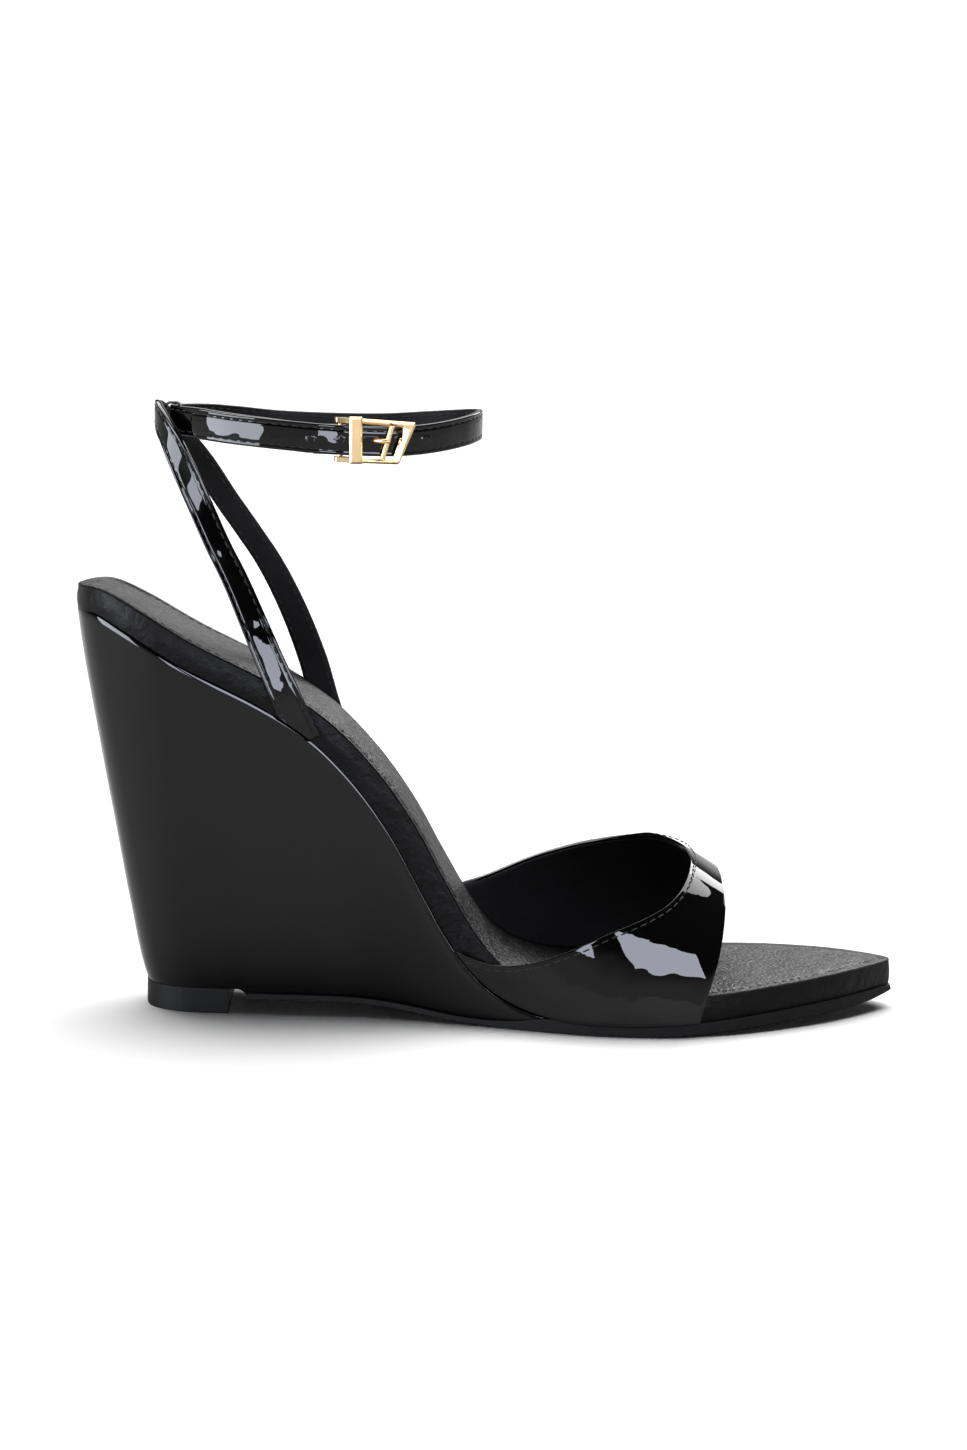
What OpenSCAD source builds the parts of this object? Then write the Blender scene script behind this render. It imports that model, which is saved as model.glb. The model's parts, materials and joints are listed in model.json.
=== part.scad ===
/* [Footbed] */
// Thickness of the wrapped side band of the footbed, measured down from its top edge
band_height = 7; // [5:0.1:9]
// Leather thickness of the side band and of the wedge cover
cover_thickness = 1; // [0.6:0.1:1.6]
// Thickness of the leather sock
sock_thickness = 0.8; // [0.5:0.1:1.5]
// Thickness of the footbed foam
foam_thickness = 3; // [1.5:0.1:4]
// Gap kept between soft footbed layers and the side band
layer_gap = 0.3; // [0.1:0.1:1]

/* [Sole and wedge] */
// Thickness of the heel top lift
lift_height = 6.5; // [4:0.1:9]
// Distance the outsole edge stands proud of the upper
sole_margin = 0.9; // [0:0.1:2]
// Diameter of the heel screw shanks
screw_diameter = 4; // [3:0.1:6]
// Diameter of the top lift dowels
dowel_diameter = 5; // [3:0.1:7]

/* [Steel shank] */
// Width of the steel shank
shank_width = 12; // [8:0.1:16]
// Thickness of the steel shank
shank_thickness = 1.4; // [1:0.1:2]
// Diameter of the shank rivets
rivet_diameter = 3.2; // [2:0.1:5]

/* [Vamp] */
// Thickness of the patent upper of the vamp
vamp_thickness = 1; // [0.8:0.1:2]
// Thickness of the vamp lining
lining_thickness = 0.6; // [0.5:0.1:1.5]
// Distance the lining stops short of the front and rear edges of the vamp
lining_setback = 0.6; // [0:0.1:3]

/* [Straps] */
// Width of the ankle strap
strap_width = 7.6; // [6:0.1:10]
// Thickness of the patent outer of the straps
strap_outer = 1.1; // [0.8:0.1:1.6]
// Thickness of the strap lining
strap_lining = 0.7; // [0.5:0.1:1.2]
// Width of the sling strap at its base
sling_base_width = 8; // [6:0.1:10]
// Width of the sling strap behind the ankle
sling_top_width = 6.5; // [5:0.1:9]
// Half thickness of the space inside the strap loop
loop_half_gap = 1.8; // [1.7:0.1:2]
// Thickness of the strap loop leather
loop_wall = 0.6; // [0.4:0.1:0.8]

/* [Buckle] */
// Thickness of the buckle frame from back to front
buckle_thickness = 1.6; // [1.2:0.1:2.2]
// Width of the bevel along the edges of the buckle
bevel = 0.45; // [0.2:0.05:0.6]
// Diameter of the hinge bar
hinge_diameter = 1.5; // [1.2:0.1:1.8]
// Diameter of the prong at its root
prong_diameter = 1.4; // [1:0.1:1.6]
// Diameter of the punched strap holes
hole_diameter = 2; // [1.6:0.1:2.6]

/* [Hidden] */
$fn = 48;
heel_back = -31.4;
sock_setback = 0.4;
foam_floor = sock_setback + sock_thickness + foam_thickness;
shank_back = -18;
shank_front = 78;
screw_places = [[-9, -9], [-9, 9], [10, 0]];
screw_length = 18;
screw_head = 7;
screw_head_height = 1.6;
head_sink = 0.15;
head_recess = 1.2;
rivet_places = [26, 62];
rivet_head = 5.6;
rivet_head_height = 0.8;
dowel_places = [-4, 7];
dowel_floor = 2;
dowel_top = 17;

// Plan outline of the footbed: x, lateral edge y, medial edge y
plan_knots = [
  [-31.4, -2, 2], [-29.6, -9.6, 9.6], [-25.5, -15.6, 15.6], [-18, -21.2, 21.2],
  [-8, -24.6, 24.4], [6, -25.8, 25.4], [23, -25.6, 24.4], [42, -25.2, 22.6],
  [60, -26.6, 22.4], [75, -29.4, 24.8], [90, -34.6, 30], [104, -39, 34.4],
  [118, -40.8, 36.6], [130, -39.6, 36.4], [142, -35.6, 34.6], [154, -28.6, 30.6],
  [165, -20.4, 25.2], [174, -12, 19.4], [181, -3.8, 13], [185, 1.4, 8.4], [186, 3.4, 6.4]
];
// Top line of the footbed in side view: x, z
top_knots = [
  [-31.4, 111.6], [-24, 111.4], [-14, 106.6], [0, 98.6], [20, 88.8], [35, 79.2],
  [48, 66.2], [58, 52.4], [66, 38], [74, 24.6], [83, 15.2], [96, 10.4], [112, 9.6],
  [130, 10.4], [150, 11.8], [170, 12.8], [186, 13.2]
];
// Ground side of the outsole in side view: x, z
sole_knots = [
  [14.4, 4], [30, 4], [44, 3.7], [56, 2.6], [68, 0.9], [80, 0.1], [92, 0], [104, 0],
  [116, 0], [128, 0.3], [142, 1.2], [156, 2.2], [170, 2.9], [180, 3.6], [186.6, 5]
];
// Half width of the wedge along its foot: x, y
foot_knots = [[-12.4, 2], [-11, 8.6], [-7, 13.8], [0, 17], [14, 18.4], [34, 19.2], [56, 21.6], [94, 34]];
// Upper side of the outsole under the wedge: x, z
sole_top_knots = [[14.4, 5.4], [30, 5.4], [44, 5.1], [56, 4], [68, 2.4], [76, 1.8], [84, 2.1], [90, 3.1]];
wedge_front = 92;
foot_back = -12.4;
foot_front = 93;
trim_height = 1.5;
seat_gap = 0.12;
foot_gap = 0.06;
cut_back = -40;
cut_front = 190;
cut_top = 140;
slab_half = 60;
slab_below = 5;
slab_height = 130;
cut_margin = 1;
layer_back_trim = 0.5;
layer_front = 185.4;
sole_top_join = 94;
sole_start = 14;
sole_back_stations = [14.4, 24, 34, 44];
sole_plan_join = 50;
foot_blend_start = 40;
foot_blend_length = 50;
arch_lift = 0.2;
arch_side_power = 0.75;
arch_top_power = 0.95;
sling_turn_x = -1;
sling_turn_pull = 1.5;
sling_taper_top = 120;
sling_taper_length = 40;
hole_raise = 0.2;
hole_cut_depth = 20;
near_hole_reach = 5;
hole_cut_y = -20;
far_hole_cut_y = -29;
chape_cut = 6.4;
chape_cut_back = 2.4;
bar_overlap = 0.5;
// Crown height of the vamp over the band's lower edge: x, height
crown_knots = [
  [60, 58], [80, 55.5], [92, 53], [104, 49.6], [114, 45.6], [122, 41.6], [130, 37.2], [139, 31]
];
// Rear edge of the vamp: arch angle from the lateral side, x
rear_knots = [
  [0, 69], [4, 75], [8, 82], [13, 90], [18, 97], [23, 103.6], [28, 109.6], [33, 115.4],
  [39, 120.6], [46, 124.8], [56, 128], [69, 130], [84, 130.8], [95, 129.4], [103, 126.2],
  [110, 122.4], [121, 117], [130, 109.6], [137, 101.6], [144, 93.6], [152, 85.6],
  [161, 77.6], [169, 71.6], [180, 65]
];
// Front edge of the vamp: arch angle from the lateral side, x
front_knots = [
  [0, 132], [13, 134.6], [23, 136.4], [33, 137.6], [46, 138.6], [62, 139.2], [90, 139],
  [118, 138.2], [140, 136.2], [160, 133.4], [180, 130.6]
];
// Centre line of the sling strap: x, y, z
sling_path = [
  [27.4, -27.1, 78.6], [24, -27.1, 86], [20.2, -25.6, 94], [15.2, -22.8, 105],
  [10.8, -20, 114.4], [6, -17.6, 123.4], [1.4, -15.1, 133], [-2.8, -13.6, 142],
  [-6.4, -11.2, 149.4], [-9.4, -7, 154.4], [-10.6, 0, 156.4],
  [-9, 7, 154.2], [-5.2, 11.2, 149.4], [0.8, 13.4, 141.6], [6.4, 15.2, 133], [12, 16.6, 125],
  [17.6, 18.6, 116.6], [22.4, 20.6, 107.6], [26.6, 22.6, 98], [30.2, 24.6, 88], [32.8, 25.3, 78.6]
];
// Centre line of the ankle strap, from the buckle round to the trimmed tongue: x, y, z
ankle_path = [
  [30.2, -27.3, 151.6], [19, -25.4, 152.7], [9.4, -20.6, 153.6],
  [1, -12.8, 154.4], [-5.8, -4.8, 154.6], [-5.8, 4.8, 154.6], [1.6, 13, 154.4],
  [9, 20.2, 153.6], [20, 25.4, 152.4], [34, 27.2, 151.9], [48, 26.4, 152], [60, 22, 153],
  [69.4, 13.6, 154], [73.2, 2, 154.6], [71.6, -9.8, 154], [66.2, -19, 152.8],
  [59.2, -25.8, 151.8], [52.6, -29.3, 151.3], [47, -31, 151.3], [42, -31.7, 151.4],
  [36, -31.7, 151.6], [29, -30.6, 152], [20.4, -28.3, 152.6], [11, -24.4, 153.3],
  [3.8, -18.9, 153.9], [-0.6, -14.4, 154.2]
];
// Hinge bar of the buckle, and the lie of the buckle frame along the strap
hinge_point = [37.6, -28.9, 151.5];
buckle_lie = 8;
// Distance from the hinge out to the back of the frame
frame_lift = 4.7;
// Outlines of the frame seen from outside, measured from the hinge: x, z
frame_outline = [[1.9, -5.6], [14.4, -5.95], [18.9, 4.7], [1.6, 5.8]];
window = [[4.4, -4.6], [4.4, 4.35], [15.5, 3.4], [12.9, -4.8]];
keeper_outline = [[1.7, -5.85], [5, -5.85], [4.9, 6.05], [1.6, 6.05]];
rest_bar_outline = [[9.45, -5], [10.75, -5], [13.4, 4], [12.1, 4]];
rest_bar_low = 0.2;
rest_bar_high = 1.1;
rest_bar_bevel = 0.25;
corner_cut = 0.5;
keeper_rise = 0.4;
keeper_drop = 0.1;
// Broad slanting face along the front bar
facet_width = 1.5;
facet_depth = 1.1;
cut_reach = 3;
// Arm of the frame from the hinge eye to the keeper bar: x, distance out from the hinge
arm_outline = [[-1.45, 0.4], [1.95, 5.8], [4.3, 5.8], [4.3, 5.1], [1.35, -0.6]];
arm_eye = 1.5;
arm_inner = 4.3;
arm_outer = 5.6;
// Prong from the hinge to its tip, seen from above: x, y, radius as a share of the root's
prong_path = [
  [0.6, 0, 1], [5.2, -0.7, 1], [6.5, -1.7, 1], [7.5, -3.4, 0.95], [8.5, -5.2, 0.92], [9.9, -6.6, 0.88],
  [11.6, -6.9, 0.8], [12.1, -6.95, 0.5]
];
prong_sides = 10;
prong_eye = 2;
prong_eye_wall = 0.7;
hinge_play = 0.05;
prong_hole = 45.1;
prong_slot = 2;
prong_hole_diameter = 2.2;
hole_places = [30.2, 37.7, 52.7, 59.6];
chape_radius = 1.6;
chape_slot = 2.6;
// Folded end of the strap seen from above, between the strap and the fold: x, y
chape_outline = [[30.8, -28.4], [37.6, -30.5], [37.6, -27.3], [30.5, -26.5]];
loop_centre = [-6.7, 0, 154.6];
loop_radius = 4.3;
loop_width = 4;
vamp_rows = 14;
vamp_step = 9;
vamp_fit = 0.45;
vamp_glue = 0.08;

function spline_at(p, i, t) =
  let (a = p[max(i - 1, 0)], b = p[i], c = p[i + 1], d = p[min(i + 2, len(p) - 1)])
  0.5 * (2 * b + (c - a) * t + (2 * a - 5 * b + 4 * c - d) * t * t + (3 * b - 3 * c + d - a) * t * t * t);
function spline(p, n) = [
  for (i = [0:len(p) - 2]) for (k = [0:n - 1]) spline_at(p, i, k / n),
  p[len(p) - 1]
];
function normal_at(p, i) =
  let (a = p[max(i - 1, 0)], b = p[min(i + 1, len(p) - 1)], d = (b - a) / norm(b - a))
  [d[1], -d[0]];
function shifted(p, d) = [for (i = [0:len(p) - 1]) p[i] + d * normal_at(p, i)];
// Value of column k at x along a list of rows sorted by x
function table(p, x, k = 1) =
  x <= p[0][0] ? p[0][k]
  : x >= p[len(p) - 1][0] ? p[len(p) - 1][k]
  : let (i = max([for (j = [0:len(p) - 2]) if (p[j][0] <= x) j]), f = (x - p[i][0]) / (p[i + 1][0] - p[i][0]))
    p[i][k] + f * (p[i + 1][k] - p[i][k]);

plan_curve = spline(plan_knots, 3);
top_curve = spline(top_knots, 4);
sole_curve = [for (p = spline(sole_knots, 2)) [p[0], max(0, p[1])]];
band_curve = shifted(top_curve, band_height);
crown_curve = spline(crown_knots, 4);
foot_curve = spline(foot_knots, 4);

// Closed plan outline from the heel along the lateral side and back along the medial side
function ring_of(c) = concat([for (p = c) [p[0], p[1]]], [for (i = [len(c) - 1:-1:0]) [c[i][0], c[i][2]]]);
function ring_normal(r, i) =
  let (n = len(r), d = r[(i + 1) % n] - r[(i + n - 1) % n])
  [-d[1], d[0]] / norm(d);
function inset(r, d) = [for (i = [0:len(r) - 1]) r[i] + d * ring_normal(r, i)];
plan_ring = ring_of(plan_curve);
// Plan outline for the layers inside the band, without the short stations at the ends
function inside_layer(x) = x > heel_back + layer_back_trim && x < layer_front;
function inner_ring(d) = inset(ring_of([for (p = plan_curve) if (inside_layer(p[0])) p]), d);

sole_top = concat(spline(sole_top_knots, 3), [for (p = band_curve) if (p[0] > sole_top_join) p]);
wedge_curve = [for (p = plan_curve) if (p[0] < wedge_front) p];
wedge_ring = ring_of(wedge_curve);
function foot_x(x) = foot_back + (x - heel_back) * (foot_front - foot_back) / (wedge_front - heel_back);
function wedge_top_z(x) = table(band_curve, x);
function wedge_foot_z(x) = x < sole_start ? lift_height : table(sole_top, x) + foot_gap;
function blend(x) = let (t = min(1, max(0, (x - foot_blend_start) / foot_blend_length))) t * t * (3 - 2 * t);
function foot_edge(x, side) =
  (1 - blend(x)) * (2 * side - 3) * table(foot_curve, x) + blend(x) * table(plan_curve, x, side);
wedge_low_ring = ring_of([for (p = wedge_curve) let (x = foot_x(p[0])) [x, foot_edge(x, 1), foot_edge(x, 2)]]);

// Solid between rings of points; turned swaps the diagonal of each facet
module skin(rings, closed, turned = false) {
  n = len(rings);
  k = len(rings[0]);
  last = closed ? n - 1 : n - 2;
  walls = [
    for (i = [0:last]) for (j = [0:k - 1])
      let (
        a = i * k + j,
        b = i * k + (j + 1) % k,
        c = ((i + 1) % n) * k + (j + 1) % k,
        d = ((i + 1) % n) * k + j
      )
      each turned ? [[a, b, d], [b, c, d]] : [[a, b, c], [a, c, d]]
  ];
  caps = closed ? [] : [[for (j = [k - 1:-1:0]) j], [for (j = [0:k - 1]) (n - 1) * k + j]];
  polyhedron(points = [for (r = rings) each r], faces = concat(walls, caps));
}

module shell(outer, inner) {
  n = len(outer);
  k = len(outer[0]);
  s = n * k;
  both = [
    for (i = [0:n - 2]) for (j = [0:k - 2])
      let (a = i * k + j, b = a + 1, c = a + k + 1, d = a + k)
      each [[a, b, c], [a, c, d], [s + c, s + b, s + a], [s + d, s + c, s + a]]
  ];
  sides = [
    for (i = [0:n - 2])
      let (a = i * k, d = a + k, e = a + k - 1, f = e + k)
      each [[a, d, s + d], [a, s + d, s + a], [f, e, s + e], [f, s + e, s + f]]
  ];
  ends = [
    for (j = [0:k - 2])
      let (a = j, b = j + 1, e = (n - 1) * k + j, f = e + 1)
      each [[b, a, s + a], [b, s + a, s + b], [e, f, s + f], [e, s + f, s + e]]
  ];
  polyhedron(
    points = concat([for (r = outer) each r], [for (r = inner) each r]),
    faces = concat(both, sides, ends)
  );
}

module side_slab(upper, lower) {
  translate([0, slab_half, 0])
    rotate([90, 0, 0])
      linear_extrude(2 * slab_half)
        polygon(concat(upper, [for (i = [len(lower) - 1:-1:0]) lower[i]]));
}

module plan_slab(ring) {
  translate([0, 0, -slab_below])
    linear_extrude(slab_height)
      polygon(ring);
}

module layer(from, to, edge) {
  intersection() {
    side_slab(shifted(top_curve, from), shifted(top_curve, to));
    plan_slab(inner_ring(edge));
  }
}

module footbed_band() {
  color([0.03, 0.03, 0.035])
    difference() {
      intersection() {
        side_slab(top_curve, band_curve);
        plan_slab(plan_ring);
      }
      plan_slab(inset(plan_ring, cover_thickness));
    }
}

module sock_lining() {
  color([0.12, 0.12, 0.13])
    layer(sock_setback, sock_setback + sock_thickness, cover_thickness + layer_gap);
}

module footbed_foam() {
  color([0.75, 0.7, 0.55])
    layer(sock_setback + sock_thickness, foam_floor, cover_thickness + layer_gap);
}

module shank_path(x_from, x_to) {
  intersection() {
    side_slab(shifted(top_curve, band_height - shank_thickness), band_curve);
    translate([x_from, -shank_width / 2, -5])
      cube([x_to - x_from, shank_width, 130]);
  }
}

module insole_board() {
  color([0.45, 0.33, 0.2])
    difference() {
      layer(foam_floor, band_height, cover_thickness);
      shank_path(shank_back - 1, shank_front + 1);
      heel_screw_holes();
      rivet_holes();
    }
}

module steel_shank() {
  color([0.55, 0.56, 0.58])
    difference() {
      shank_path(shank_back, shank_front);
      heel_screw_holes();
      rivet_holes();
    }
}

// Puts its children at x on the footbed, with up along the footbed's normal
module on_footbed(x, y) {
  slope = atan((table(top_curve, x + 2) - table(top_curve, x - 2)) / 4);
  translate([x, y, table(top_curve, x)])
    rotate([0, -slope, 0])
      children();
}

// Heel screws; recess is how far the head's bore reaches above the head
module screw_set(recess) {
  for (p = screw_places)
    on_footbed(p[0], p[1]) {
      translate([0, 0, -foam_floor - head_sink - screw_head_height])
        cylinder(h = screw_head_height + recess, d = screw_head);
      translate([0, 0, -foam_floor - screw_length])
        cylinder(h = screw_length - head_sink - screw_head_height, d = screw_diameter);
    }
}

module rivet_set(recess) {
  for (x = rivet_places)
    on_footbed(x, 0) {
      translate([0, 0, -foam_floor - head_sink - rivet_head_height])
        cylinder(h = rivet_head_height + recess, d = rivet_head);
      translate([0, 0, -band_height])
        cylinder(h = band_height - foam_floor - head_sink - rivet_head_height, d = rivet_diameter);
    }
}

module heel_screws() {
  color([0.7, 0.68, 0.6])
    screw_set(0);
}

module heel_screw_holes() {
  screw_set(head_recess);
}

module shank_rivets() {
  color([0.6, 0.6, 0.62])
    rivet_set(0);
}

module rivet_holes() {
  rivet_set(head_recess);
}

module lift_dowels() {
  color([0.85, 0.84, 0.8])
    for (x = dowel_places)
      translate([x, 0, dowel_floor])
        cylinder(h = dowel_top - dowel_floor, d = dowel_diameter);
}

function low_z(x) = min(wedge_foot_z(x), wedge_top_z(x) - 0.5);
// Lines down the wedge's side, longer at the top by reach
function wall_ring(ring, low_ring, d, reach) =
  let (top = inset(ring, d), low = inset(low_ring, d))
  [
    for (i = [0:len(ring) - 1])
      let (
        high = [top[i][0], top[i][1], wedge_top_z(top[i][0])],
        foot = [low[i][0], low[i][1], low_z(low[i][0])]
      )
      [high + reach * unit(high - foot), foot]
  ];

module above_wedge() {
  side_slab([[cut_back, cut_top], [cut_front, cut_top]], concat([[cut_back, band_curve[0][1]]], band_curve));
}

module wedge_core() {
  walls = wall_ring(wedge_ring, wedge_low_ring, cover_thickness + foot_gap, trim_height);
  n = len(walls);
  half = n / 2;
  rings = [for (i = [0:half - 1]) [walls[i][0], walls[n - 1 - i][0], walls[n - 1 - i][1], walls[i][1]]];
  color([0.8, 0.78, 0.7])
    difference() {
      skin(rings, false, true);
      above_wedge();
      heel_screw_holes();
      lift_dowels();
    }
}

module wedge_cover() {
  outer = wall_ring(wedge_ring, wedge_low_ring, 0, -seat_gap);
  inner = wall_ring(wedge_ring, wedge_low_ring, cover_thickness, -seat_gap);
  color([0.02, 0.02, 0.025])
    skin([for (i = [0:len(outer) - 1]) [outer[i][0], inner[i][0], inner[i][1], outer[i][1]]], true);
}

module top_lift() {
  curve = [for (p = foot_curve) if (p[0] < 13.6) p];
  ring = ring_of([for (p = curve) [p[0], -p[1], p[1]]]);
  color([0.03, 0.03, 0.03])
    difference() {
      linear_extrude(lift_height)
        polygon(ring);
      lift_dowels();
    }
}

module outsole() {
  stations = concat(sole_back_stations, [for (p = plan_curve) if (p[0] > sole_plan_join) p[0]]);
  ring = ring_of([for (x = stations) [x, foot_edge(x, 1), foot_edge(x, 2)]]);
  color([0.05, 0.045, 0.04])
    intersection() {
      side_slab(sole_top, sole_curve);
      plan_slab(inset(ring, -sole_margin));
    }
}

// Point of the vamp's arch at x: a is the angle from the lateral side, off the distance outside the band
function arch_point(x, a, off) =
  let (
    lateral = table(plan_curve, x, 1) - off,
    medial = table(plan_curve, x, 2) + off,
    c = cos(a),
    reach = pow(abs(c), arch_side_power),
    rise = (table(crown_curve, x) + off) * pow(sin(a), arch_top_power)
  )
  [x, c > 0 ? lateral * reach : medial * reach, wedge_top_z(x) + arch_lift + rise];
function arch_grid(off, back_shift) =
  [
    for (k = [0:vamp_rows]) [
      for (a = [0:vamp_step:180])
        let (rear = table(rear_knots, a) + back_shift, front = table(front_knots, a) - back_shift)
        arch_point(rear + (front - rear) * k / vamp_rows, a, off)
    ]
  ];

module vamp_upper() {
  inner = vamp_fit + lining_thickness;
  color([0.02, 0.02, 0.025])
    shell(arch_grid(inner + vamp_thickness, 0), arch_grid(inner + vamp_glue, 0));
}

module vamp_lining() {
  color([0.1, 0.1, 0.1])
    shell(arch_grid(vamp_fit + lining_thickness, lining_setback), arch_grid(vamp_fit, lining_setback));
}

function tangent(p, i) = let (d = p[min(i + 1, len(p) - 1)] - p[max(i - 1, 0)]) d / norm(d);
function unit(v) = v / norm(v);
function strap_ring(p, t, out, w, low, high) =
  let (n = unit(out - (out * t) * t), b = cross(t, n))
  [p + n * low - b * w / 2, p + n * low + b * w / 2, p + n * high + b * w / 2, p + n * high - b * w / 2];
sling_curve = spline(sling_path, 3);
ankle_curve = spline(ankle_path, 3);
sling_outward = function (p) [min(0, p[0] - sling_turn_x) * sling_turn_pull, p[1], 0];
function sling_taper(p) = min(1, max(0, (sling_taper_top - p[2]) / sling_taper_length));
function sling_width(p) = sling_top_width + (sling_base_width - sling_top_width) * sling_taper(p);
function sling_rings(low, high) = [
  for (i = [0:len(sling_curve) - 1])
    let (p = sling_curve[i])
    strap_ring(p, tangent(sling_curve, i), sling_outward(p), sling_width(p), low, high)
];
function ankle_rings(low, high) = [
  for (i = [0:len(ankle_curve) - 1])
    let (t = tangent(ankle_curve, i))
    strap_ring(ankle_curve[i], t, [-t[1], t[0], 0], strap_width, low, high)
];
strap_half = (strap_outer + strap_lining) / 2;

module sling_outer() {
  color([0.02, 0.02, 0.025])
    skin(sling_rings(strap_lining - strap_half, strap_half), false);
}

module sling_lining() {
  color([0.1, 0.1, 0.1])
    skin(sling_rings(-strap_half, strap_lining - strap_half), false, true);
}

module loop_outline(radius, half_gap) {
  intersection() {
    circle(radius);
    square([2 * half_gap, 2 * radius], center = true);
  }
}

module strap_loop() {
  color([0.02, 0.02, 0.025])
    translate(loop_centre)
      rotate([90, 0, 0])
        translate([0, 0, -loop_width / 2])
          linear_extrude(loop_width)
            difference() {
              loop_outline(loop_radius + loop_wall, loop_half_gap + loop_wall);
              loop_outline(loop_radius, loop_half_gap);
            }
}

function hole_start(x) = x < prong_hole - near_hole_reach ? far_hole_cut_y : hole_cut_y;

module strap_holes() {
  for (x = hole_places)
    translate([x, hole_start(x), hinge_point[2] + hole_raise])
      rotate([90, 0, 0])
        cylinder(h = hole_cut_depth, d = hole_diameter);
  translate([prong_hole - prong_slot / 2, hole_cut_y, hinge_point[2]])
    rotate([90, 0, 0])
      linear_extrude(hole_cut_depth) {
        translate([0, -prong_hole_diameter / 2])
          square([prong_slot, prong_hole_diameter]);
        circle(d = prong_hole_diameter);
        translate([prong_slot, 0])
          circle(d = prong_hole_diameter);
      }
}

module ankle_outer() {
  color([0.02, 0.02, 0.025])
    difference() {
      skin(ankle_rings(strap_lining - strap_half, strap_half), false);
      strap_holes();
    }
}

module ankle_lining() {
  color([0.1, 0.1, 0.1])
    difference() {
      skin(ankle_rings(-strap_half, strap_lining - strap_half), false, true);
      strap_holes();
    }
}

module at_hinge() {
  translate(hinge_point)
    rotate([0, 0, buckle_lie])
      children();
}

module buckle_chape() {
  color([0.02, 0.02, 0.025])
    difference() {
      translate([0, 0, hinge_point[2] - strap_width / 2])
        linear_extrude(strap_width) {
          polygon(chape_outline);
          translate([hinge_point[0], hinge_point[1]])
            circle(chape_radius);
        }
      at_hinge() {
        translate([0, 0, -strap_width])
          cylinder(h = 2 * strap_width, d = hinge_diameter + 2 * hinge_play);
        translate([-chape_cut_back, -chape_cut / 2, -chape_slot / 2])
          cube([chape_cut, chape_cut, chape_slot]);
      }
    }
}

// Outline with each corner cut across
function cut_corners(p) = [
  for (i = [0:len(p) - 1])
    let (before = p[(i + len(p) - 1) % len(p)], here = p[i], after = p[(i + 1) % len(p)])
    each [here + corner_cut * unit(before - here), here + corner_cut * unit(after - here)]
];

// Wedge that bevels the front edge from p to q of a plate whose front is at top; the plate is on the left
module bevel_cut(p, q, top, width, depth, over) {
  angle = atan(depth / width);
  translate([p[0], p[1], top])
    rotate([0, 0, atan2(q[1] - p[1], q[0] - p[0])])
      rotate([angle, 0, 0])
        translate([-over, -cut_reach, -width * sin(angle)])
          cube([norm(q - p) + 2 * over, 2 * cut_reach, cut_reach]);
}

// Plate with its front edges bevelled
module bevelled_plate(outline, low, top, edge) {
  difference() {
    translate([0, 0, low])
      linear_extrude(top - low)
        polygon(outline);
    for (i = [0:len(outline) - 1])
      bevel_cut(outline[i], outline[(i + 1) % len(outline)], top, edge, edge, cut_reach);
  }
}

module buckle_frame() {
  top = frame_lift + buckle_thickness;
  color([0.85, 0.68, 0.32])
    at_hinge()
      union() {
        rotate([90, 0, 0]) {
          difference() {
            bevelled_plate(cut_corners(frame_outline), frame_lift, top, bevel);
            translate([0, 0, frame_lift - cut_margin])
              linear_extrude(buckle_thickness + 2 * cut_margin)
                polygon(window);
            bevel_cut(window[1], window[2], top, bevel, bevel, 0);
            bevel_cut(window[2], window[3], top, facet_width, facet_depth, 0);
            bevel_cut(window[3], window[0], top, bevel, bevel, 0);
          }
          bevelled_plate(keeper_outline, frame_lift - keeper_drop, top + keeper_rise, bevel);
          bevelled_plate(
            rest_bar_outline,
            frame_lift + rest_bar_low,
            frame_lift + rest_bar_high,
            rest_bar_bevel
          );
        }
        for (z = [arm_inner, -arm_outer])
          translate([0, 0, z])
            linear_extrude(arm_outer - arm_inner)
              mirror([0, 1]) {
                polygon(arm_outline);
                circle(arm_eye);
              }
        translate([0, 0, -arm_inner - bar_overlap])
          cylinder(h = 2 * (arm_inner + bar_overlap), d = hinge_diameter);
      }
}

function prong_ring(i) =
  let (
    p = prong_path[i],
    a = prong_path[max(i - 1, 0)],
    b = prong_path[min(i + 1, len(prong_path) - 1)],
    t = unit([b[0] - a[0], b[1] - a[1]]),
    r = p[2] * prong_diameter / 2
  )
  [
    for (k = [0:prong_sides - 1])
      let (u = 360 * k / prong_sides)
      [p[0] - r * sin(u) * t[1], p[1] + r * sin(u) * t[0], r * cos(u)]
  ];

module buckle_prong() {
  color([0.85, 0.68, 0.32])
    at_hinge()
      difference() {
        union() {
          translate([0, 0, -prong_eye / 2])
            cylinder(h = prong_eye, r = hinge_diameter / 2 + prong_eye_wall);
          skin([for (i = [0:len(prong_path) - 1]) prong_ring(i)], false);
        }
        translate([0, 0, -prong_eye])
          cylinder(h = 2 * prong_eye, d = hinge_diameter + 2 * hinge_play);
      }
}

wedge_core();
wedge_cover();
top_lift();
lift_dowels();
outsole();
insole_board();
steel_shank();
shank_rivets();
heel_screws();
footbed_foam();
footbed_band();
sock_lining();
vamp_upper();
vamp_lining();
sling_outer();
sling_lining();
strap_loop();
ankle_outer();
ankle_lining();
buckle_chape();
buckle_frame();
buckle_prong();
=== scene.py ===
import json
import math
import bmesh
import bpy
import numpy as np
from mathutils import Matrix, Vector, noise

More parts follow.
